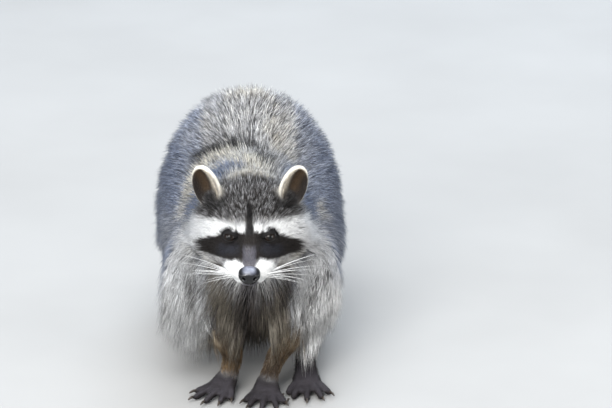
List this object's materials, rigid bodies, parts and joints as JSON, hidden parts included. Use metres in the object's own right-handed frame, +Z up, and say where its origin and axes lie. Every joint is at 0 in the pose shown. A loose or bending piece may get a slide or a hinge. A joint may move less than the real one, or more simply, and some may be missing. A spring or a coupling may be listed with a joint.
{
  "type": "common raccoon",
  "caption": "Life-size common raccoon standing hunched with its head low, one hind foot brought up beside the forefeet, ringed tail laid behind on the floor.",
  "frame": {"origin": "middle of the footprint of the whole animal, on the floor it stands on", "axes": "+Z up, the animal faces -Y with its tail towards +Y, its left side is +X"},
  "size_m": [0.2466, 0.709, 0.3099],
  "materials": {
    "body_coat": "long grizzled grey fur, each hair dark with a pale band and tip",
    "face_coat": "short dense fur with a black mask, white brows and muzzle",
    "leg_coat": "short brown fur",
    "paw_coat": "thin dark hair over grey skin, bare soft pads",
    "tail_coat": "bushy fur in dark and tan rings",
    "nose_skin": "moist black skin, fine pebble grain, satin gloss",
    "eye": "wet dark brown eye, clear gloss",
    "claw": "dark horn, satin"
  },
  "bodies": {
    "root": {"head": "face_coat", "lower_jaw": "face_coat", "nose": "nose_skin", "eye_left": "eye", "eye_right": "eye", "ear_left": "face_coat", "ear_right": "face_coat", "neck": "body_coat", "trunk": "body_coat", "tail_base": "tail_coat", "tail_middle": "tail_coat", "tail_tip": "tail_coat", "fore_left_upper": "body_coat", "fore_left_lower": "leg_coat", "fore_left_paw": "paw_coat", "fore_left_claw_1": "claw", "fore_left_claw_2": "claw", "fore_left_claw_3": "claw", "fore_left_claw_4": "claw", "fore_left_claw_5": "claw", "fore_right_upper": "body_coat", "fore_right_lower": "leg_coat", "fore_right_paw": "paw_coat", "fore_right_claw_1": "claw", "fore_right_claw_2": "claw", "fore_right_claw_3": "claw", "fore_right_claw_4": "claw", "fore_right_claw_5": "claw", "hind_left_upper": "body_coat", "hind_left_lower": "leg_coat", "hind_left_paw": "paw_coat", "hind_left_claw_1": "claw", "hind_left_claw_2": "claw", "hind_left_claw_3": "claw", "hind_left_claw_4": "claw", "hind_left_claw_5": "claw", "hind_right_upper": "body_coat", "hind_right_lower": "leg_coat", "hind_right_paw": "paw_coat", "hind_right_claw_1": "claw", "hind_right_claw_2": "claw", "hind_right_claw_3": "claw", "hind_right_claw_4": "claw", "hind_right_claw_5": "claw"}
  },
  "joints": []
}
